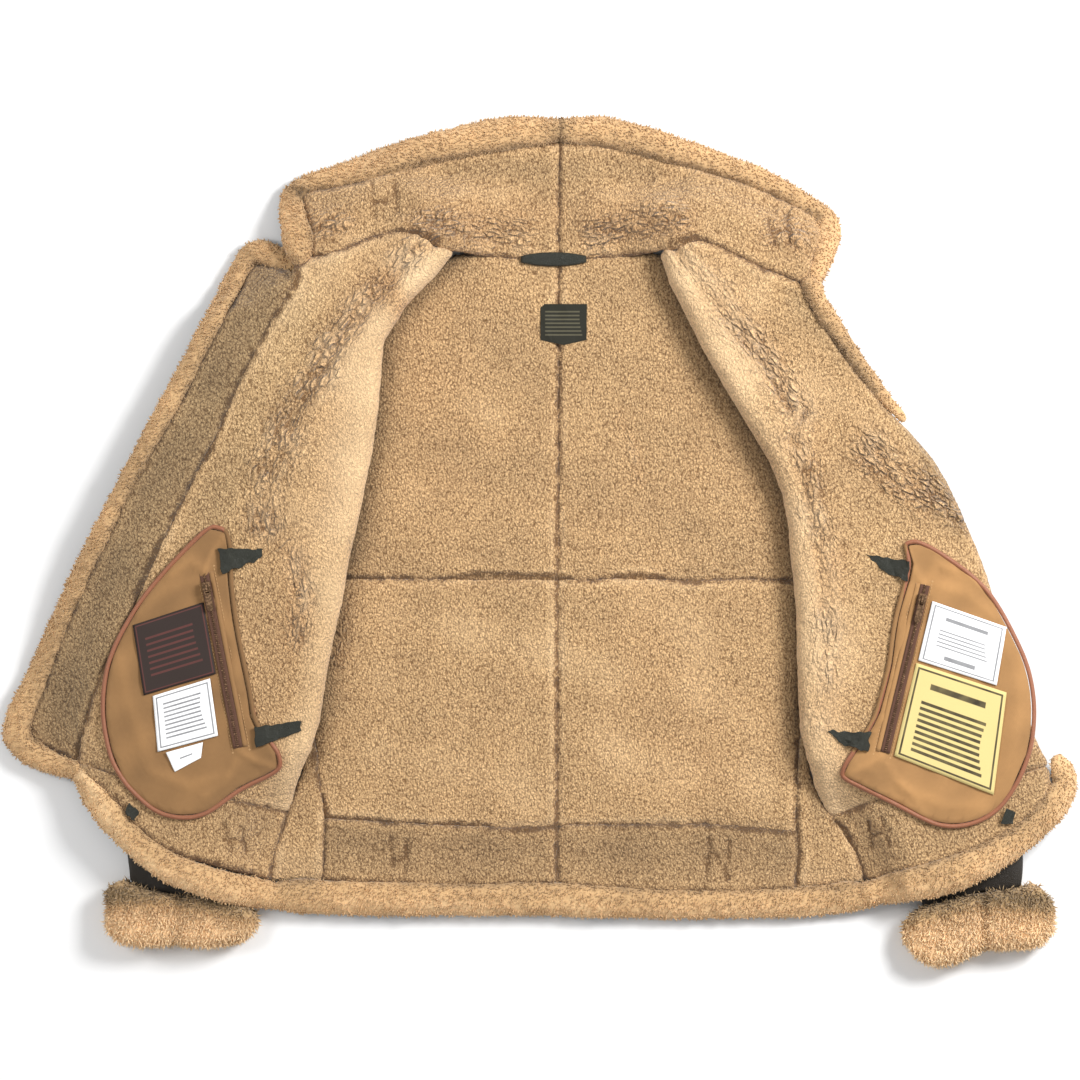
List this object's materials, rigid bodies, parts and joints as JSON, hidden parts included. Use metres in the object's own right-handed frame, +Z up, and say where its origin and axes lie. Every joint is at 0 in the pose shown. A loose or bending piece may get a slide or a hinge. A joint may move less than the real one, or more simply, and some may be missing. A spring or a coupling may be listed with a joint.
{
  "type": "shearling coat",
  "caption": "Hip-length shearling flight coat laid open wool side up, with a wool collar and cuffs, leather sleeves, a wind flap, and zipped inner pockets with bare labels",
  "frame": {"origin": "on the surface that the coat lies on, under the middle of its outline", "axes": "+X across the coat to the picture's right, +Y from the hem up the centre back to the collar, +Z up off the surface"},
  "size_m": [1.0722, 0.8464, 0.0523],
  "materials": {
    "shearling": "sheepskin seen from its wool side, golden tan, clipped curly pile; the skin's outer side is dark leather",
    "leather": "dark green-brown leather, semi-matt, worn",
    "cotton": "tan cotton twill pocketing, matt",
    "piping": "red-brown bound edge with a cord in it",
    "label_dark": "dark brown woven label, bare ruled lines",
    "label_white": "white printed label cloth, bare ruled lines",
    "label_yellow": "cream-yellow printed label cloth with a dark border, bare ruled lines",
    "zip_tape": "brown woven zip tape with an aged brass chain",
    "metal": "aged brass, rubbed at the edges"
  },
  "bodies": {
    "root": {"back_upper_left": "shearling", "back_lower_left": "shearling", "hem_band_back_left": "shearling", "gusset_left": "shearling", "back_upper_right": "shearling", "back_lower_right": "shearling", "hem_band_back_right": "shearling", "gusset_right": "shearling", "front_left": "shearling", "front_hem_band_left": "shearling", "front_right": "shearling", "front_hem_band_right": "shearling", "wind_flap": "shearling", "flap_roll": "shearling", "hem_roll_left": "shearling", "hem_roll_back": "shearling", "hem_roll_right": "shearling", "front_roll_right": "shearling", "collar_left": "shearling", "collar_roll_left": "shearling", "collar_right": "shearling", "collar_roll_right": "shearling", "sleeve_under_left": "leather", "cuff_under_left": "shearling", "sleeve_upper_left": "leather", "cuff_upper_left": "shearling", "sleeve_under_right": "leather", "cuff_under_right": "shearling", "sleeve_upper_right": "leather", "cuff_upper_right": "shearling", "pocket_bag_left": "cotton", "pocket_piping_left": "piping", "pocket_bag_right": "cotton", "pocket_piping_right": "piping", "label_brown": "label_dark", "label_white_left": "label_white", "label_small": "label_white", "label_white_right": "label_white", "label_yellow": "label_yellow", "tab_left_upper": "leather", "tab_left_lower": "leather", "tab_right_upper": "leather", "tab_right_lower": "leather", "patch_left": "leather", "patch_right": "leather", "neck_label": "label_dark", "hanger_loop": "leather", "pocket_zip_left": "zip_tape", "zip_slider_left": "metal", "pocket_zip_right": "zip_tape", "zip_slider_right": "metal"},
    "pull_left": {"zip_pull_left": "metal"},
    "pull_right": {"zip_pull_right": "metal"}
  },
  "joints": [
    {"name": "pull_left_hinge", "type": "hinge", "parent": "root", "child": "pull_left", "pos_m": [-0.33173, -0.04699, 0.0501], "axis": [-0.982, -0.1891, 0], "range_deg": [0, 150]},
    {"name": "pull_right_hinge", "type": "hinge", "parent": "root", "child": "pull_right", "pos_m": [0.38019, -0.05886, 0.0501], "axis": [-0.9731, 0.2302, 0], "range_deg": [0, 150]}
  ]
}
